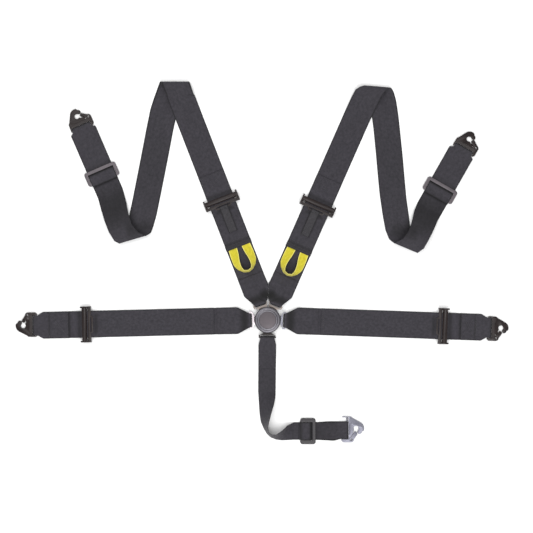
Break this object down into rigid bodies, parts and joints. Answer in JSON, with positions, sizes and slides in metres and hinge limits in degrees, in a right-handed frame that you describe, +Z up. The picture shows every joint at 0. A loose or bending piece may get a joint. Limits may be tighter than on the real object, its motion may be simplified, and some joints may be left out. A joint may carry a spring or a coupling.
{
  "type": "racing harness",
  "caption": "Racing harness laid flat: rotary cam-lock buckle with tongues, wide webbing arms, tilt-lock adjusters, slides, pull loops and sprung snap hooks.",
  "frame": {"origin": "on the buckle's turning axis at its flat back face, on the surface that the harness lies on", "axes": "+Z up out of the buckle's face, +X along the lap arms to the side of the crotch arm's hook, +Y toward the shoulder arms"},
  "size_m": [1.4041, 1.0327, 0.0461],
  "materials": {
    "webbing": "coarse black polyester webbing",
    "pull_web": "yellow polyester webbing",
    "buckle_grey": "satin grey anodised alloy",
    "disc_grey": "satin grey",
    "tongue_steel": "bright plated steel",
    "black_steel": "satin black phosphated steel",
    "slide_black": "dark grey painted steel",
    "hook_grey": "satin grey plated steel",
    "inner_steel": "bare steel"
  },
  "bodies": {
    "buckle": {"buckle_cover": "buckle_grey", "buckle_housing": "buckle_grey", "buckle_post": "inner_steel", "buckle_screws": "inner_steel", "tongue_lap_left": "tongue_steel", "tongue_lap_right": "tongue_steel", "tongue_sh_left": "tongue_steel", "tongue_sh_right": "tongue_steel", "tongue_crotch": "black_steel"},
    "dial": {"buckle_dial": "buckle_grey", "dial_disc": "disc_grey", "lock_spring": "inner_steel"},
    "lock": {"lock_plate": "inner_steel"},
    "strap_lap_left": {"strap_lap_left": "webbing"},
    "adjuster_lap_left": {"adjuster_lap_left": "black_steel"},
    "bar_lap_left": {"bar_lap_left": "inner_steel"},
    "outer_lap_left": {"end_lap_left": "webbing"},
    "strap_lap_right": {"strap_lap_right": "webbing"},
    "adjuster_lap_right": {"adjuster_lap_right": "black_steel"},
    "bar_lap_right": {"bar_lap_right": "inner_steel"},
    "outer_lap_right": {"end_lap_right": "webbing"},
    "strap_sh_left": {"strap_sh_left": "webbing"},
    "adjuster_sh_left": {"adjuster_sh_left": "black_steel"},
    "bar_sh_left": {"bar_sh_left": "inner_steel"},
    "outer_sh_left": {"upper_sh_left": "webbing", "folded_sh_left": "webbing", "end_sh_left": "webbing", "slide_sh_left": "slide_black"},
    "tab_sh_left": {"tab_sh_left": "webbing"},
    "pull_sh_left": {"pull_sh_left": "pull_web"},
    "strap_sh_right": {"strap_sh_right": "webbing"},
    "adjuster_sh_right": {"adjuster_sh_right": "black_steel"},
    "bar_sh_right": {"bar_sh_right": "inner_steel"},
    "outer_sh_right": {"upper_sh_right": "webbing", "folded_sh_right": "webbing", "end_sh_right": "webbing", "slide_sh_right": "slide_black"},
    "tab_sh_right": {"tab_sh_right": "webbing"},
    "pull_sh_right": {"pull_sh_right": "pull_web"},
    "strap_crotch": {"strap_crotch": "webbing", "turned_crotch": "webbing", "end_crotch": "webbing", "slide_crotch": "slide_black"},
    "hook_lap_left": {"hook_lap_left": "black_steel", "spring_lap_left": "inner_steel"},
    "gate_lap_left": {"gate_lap_left": "black_steel"},
    "hook_lap_right": {"hook_lap_right": "black_steel", "spring_lap_right": "inner_steel"},
    "gate_lap_right": {"gate_lap_right": "black_steel"},
    "hook_sh_left": {"hook_sh_left": "black_steel", "spring_sh_left": "inner_steel"},
    "gate_sh_left": {"gate_sh_left": "black_steel"},
    "hook_sh_right": {"hook_sh_right": "black_steel", "spring_sh_right": "inner_steel"},
    "gate_sh_right": {"gate_sh_right": "black_steel"},
    "hook_crotch": {"hook_crotch": "hook_grey", "spring_crotch": "inner_steel"},
    "gate_crotch": {"gate_crotch": "hook_grey"}
  },
  "joints": [
    {"name": "dial_turn", "type": "hinge", "parent": "buckle", "child": "dial", "pos_m": [0, 0, 0.018], "axis": [0, 0, 1], "range_deg": [0, 40], "stiffness_Nm_per_rad": 0.12, "springref_deg": -5.73},
    {"name": "lock_lift", "type": "slide", "parent": "buckle", "child": "lock", "axis": [0, 0, 1], "range_m": [0, 0.004], "deforming": ["lock_spring"]},
    {"name": "lap_left_strap_lift", "type": "hinge", "parent": "buckle", "child": "strap_lap_left", "pos_m": [-0.04859, -0.00119, 0.0103], "axis": [-0.0244, 0.9997, 0], "range_deg": [-30, 60]},
    {"name": "lap_left_adjuster_tilt", "type": "hinge", "parent": "strap_lap_left", "child": "adjuster_lap_left", "pos_m": [-0.50885, -0.01244, 0.0082], "axis": [0.0244, -0.9997, 0], "range_deg": [0, 25]},
    {"name": "lap_left_lock_bar_turn", "type": "hinge", "parent": "adjuster_lap_left", "child": "bar_lap_left", "pos_m": [-0.50885, -0.01244, 0.0082], "axis": [0.0244, -0.9997, 0], "continuous": true},
    {"name": "lap_left_outer_strap_lift", "type": "hinge", "parent": "adjuster_lap_left", "child": "outer_lap_left", "pos_m": [-0.52384, -0.0128, 0.0052], "axis": [-0.0244, 0.9997, 0], "range_deg": [-30, 30]},
    {"name": "lap_right_strap_lift", "type": "hinge", "parent": "buckle", "child": "strap_lap_right", "pos_m": [0.04857, -0.0017, 0.0103], "axis": [-0.0349, -0.9994, 0], "range_deg": [-30, 60]},
    {"name": "lap_right_adjuster_tilt", "type": "hinge", "parent": "strap_lap_right", "child": "adjuster_lap_right", "pos_m": [0.4927, -0.01721, 0.0082], "axis": [0.0349, 0.9994, 0], "range_deg": [0, 25]},
    {"name": "lap_right_lock_bar_turn", "type": "hinge", "parent": "adjuster_lap_right", "child": "bar_lap_right", "pos_m": [0.4927, -0.01721, 0.0082], "axis": [0.0349, 0.9994, 0], "continuous": true},
    {"name": "lap_right_outer_strap_lift", "type": "hinge", "parent": "adjuster_lap_right", "child": "outer_lap_right", "pos_m": [0.50769, -0.01773, 0.0052], "axis": [-0.0349, -0.9994, 0], "range_deg": [-30, 30]},
    {"name": "sh_left_strap_lift", "type": "hinge", "parent": "buckle", "child": "strap_sh_left", "pos_m": [-0.01758, 0.04531, 0.0103], "axis": [0.9323, 0.3616, 0], "range_deg": [-10, 10]},
    {"name": "sh_left_adjuster_tilt", "type": "hinge", "parent": "strap_sh_left", "child": "adjuster_sh_left", "pos_m": [-0.12838, 0.33098, 0.0082], "axis": [-0.9323, -0.3616, 0], "range_deg": [0, 25]},
    {"name": "sh_left_lock_bar_turn", "type": "hinge", "parent": "adjuster_sh_left", "child": "bar_sh_left", "pos_m": [-0.12838, 0.33098, 0.0082], "axis": [-0.9323, -0.3616, 0], "continuous": true},
    {"name": "sh_left_outer_strap_lift", "type": "hinge", "parent": "adjuster_sh_left", "child": "outer_sh_left", "pos_m": [-0.1338, 0.34496, 0.0052], "axis": [0.9323, 0.3616, 0], "range_deg": [-30, 30]},
    {"name": "sh_left_tab_lift", "type": "hinge", "parent": "adjuster_sh_left", "child": "tab_sh_left", "pos_m": [-0.12449, 0.32095, 0.0152], "axis": [-0.9323, -0.3616, 0], "range_deg": [0, 80]},
    {"name": "sh_left_pull_loop_lift", "type": "hinge", "parent": "strap_sh_left", "child": "pull_sh_left", "pos_m": [-0.08017, 0.2067, 0.0031], "axis": [-0.9323, -0.3616, 0], "range_deg": [0, 90]},
    {"name": "sh_right_strap_lift", "type": "hinge", "parent": "buckle", "child": "strap_sh_right", "pos_m": [0.01961, 0.04447, 0.0103], "axis": [0.915, -0.4035, 0], "range_deg": [-10, 10]},
    {"name": "sh_right_adjuster_tilt", "type": "hinge", "parent": "strap_sh_right", "child": "adjuster_sh_right", "pos_m": [0.14003, 0.31749, 0.0082], "axis": [-0.915, 0.4035, 0], "range_deg": [0, 25]},
    {"name": "sh_right_lock_bar_turn", "type": "hinge", "parent": "adjuster_sh_right", "child": "bar_sh_right", "pos_m": [0.14003, 0.31749, 0.0082], "axis": [-0.915, 0.4035, 0], "continuous": true},
    {"name": "sh_right_outer_strap_lift", "type": "hinge", "parent": "adjuster_sh_right", "child": "outer_sh_right", "pos_m": [0.14608, 0.33121, 0.0052], "axis": [0.915, -0.4035, 0], "range_deg": [-30, 30]},
    {"name": "sh_right_tab_lift", "type": "hinge", "parent": "adjuster_sh_right", "child": "tab_sh_right", "pos_m": [0.13569, 0.30766, 0.0152], "axis": [-0.915, 0.4035, 0], "range_deg": [0, 80]},
    {"name": "sh_right_pull_loop_lift", "type": "hinge", "parent": "strap_sh_right", "child": "pull_sh_right", "pos_m": [0.08583, 0.19461, 0.0031], "axis": [-0.915, 0.4035, 0], "range_deg": [0, 90]},
    {"name": "crotch_strap_lift", "type": "hinge", "parent": "buckle", "child": "strap_crotch", "pos_m": [-0.00042, -0.0486, 0.0103], "axis": [-1, 0.0087, 0], "range_deg": [-30, 60]},
    {"name": "lap_left_hook_lift", "type": "hinge", "parent": "outer_lap_left", "child": "hook_lap_left", "pos_m": [-0.6658, -0.01627, 0.0037], "axis": [-0.0244, 0.9997, 0], "range_deg": [-45, 75]},
    {"name": "lap_left_gate_open", "type": "hinge", "parent": "hook_lap_left", "child": "gate_lap_left", "pos_m": [-0.68403, 0.01329, 0.0037], "axis": [0, 0, 1], "range_deg": [0, 28], "stiffness_Nm_per_rad": 0.05, "springref_deg": -11.46},
    {"name": "lap_right_hook_lift", "type": "hinge", "parent": "outer_lap_right", "child": "hook_lap_right", "pos_m": [0.63461, -0.02216, 0.0037], "axis": [-0.0349, -0.9994, 0], "range_deg": [-45, 75]},
    {"name": "lap_right_gate_open", "type": "hinge", "parent": "hook_lap_right", "child": "gate_lap_right", "pos_m": [0.65106, -0.05275, 0.0037], "axis": [0, 0, 1], "range_deg": [0, 28], "stiffness_Nm_per_rad": 0.05, "springref_deg": -11.46},
    {"name": "sh_left_hook_lift", "type": "hinge", "parent": "outer_sh_left", "child": "hook_sh_left", "pos_m": [-0.53117, 0.55175, 0.0037], "axis": [0.9178, 0.3971, 0], "range_deg": [-45, 75]},
    {"name": "sh_left_gate_open", "type": "hinge", "parent": "hook_sh_left", "child": "gate_sh_left", "pos_m": [-0.51059, 0.57972, 0.0037], "axis": [0, 0, 1], "range_deg": [0, 28], "stiffness_Nm_per_rad": 0.05, "springref_deg": -11.46},
    {"name": "sh_right_hook_lift", "type": "hinge", "parent": "outer_sh_right", "child": "hook_sh_right", "pos_m": [0.55916, 0.48899, 0.0037], "axis": [0.8695, -0.4939, 0], "range_deg": [-45, 75]},
    {"name": "sh_right_gate_open", "type": "hinge", "parent": "hook_sh_right", "child": "gate_sh_right", "pos_m": [0.59389, 0.48939, 0.0037], "axis": [0, 0, 1], "range_deg": [0, 28], "stiffness_Nm_per_rad": 0.05, "springref_deg": -11.46},
    {"name": "crotch_hook_lift", "type": "hinge", "parent": "strap_crotch", "child": "hook_crotch", "pos_m": [0.22656, -0.309, 0.0037], "axis": [0, -1, 0], "range_deg": [-45, 75]},
    {"name": "crotch_gate_open", "type": "hinge", "parent": "hook_crotch", "child": "gate_crotch", "pos_m": [0.23875, -0.3408, 0.0037], "axis": [0, 0, 1], "range_deg": [0, 28], "stiffness_Nm_per_rad": 0.05, "springref_deg": -11.46}
  ],
  "couplings": [
    {"joint": "lock_lift", "follows": "dial_turn", "m_per_rad": 0.0057}
  ]
}
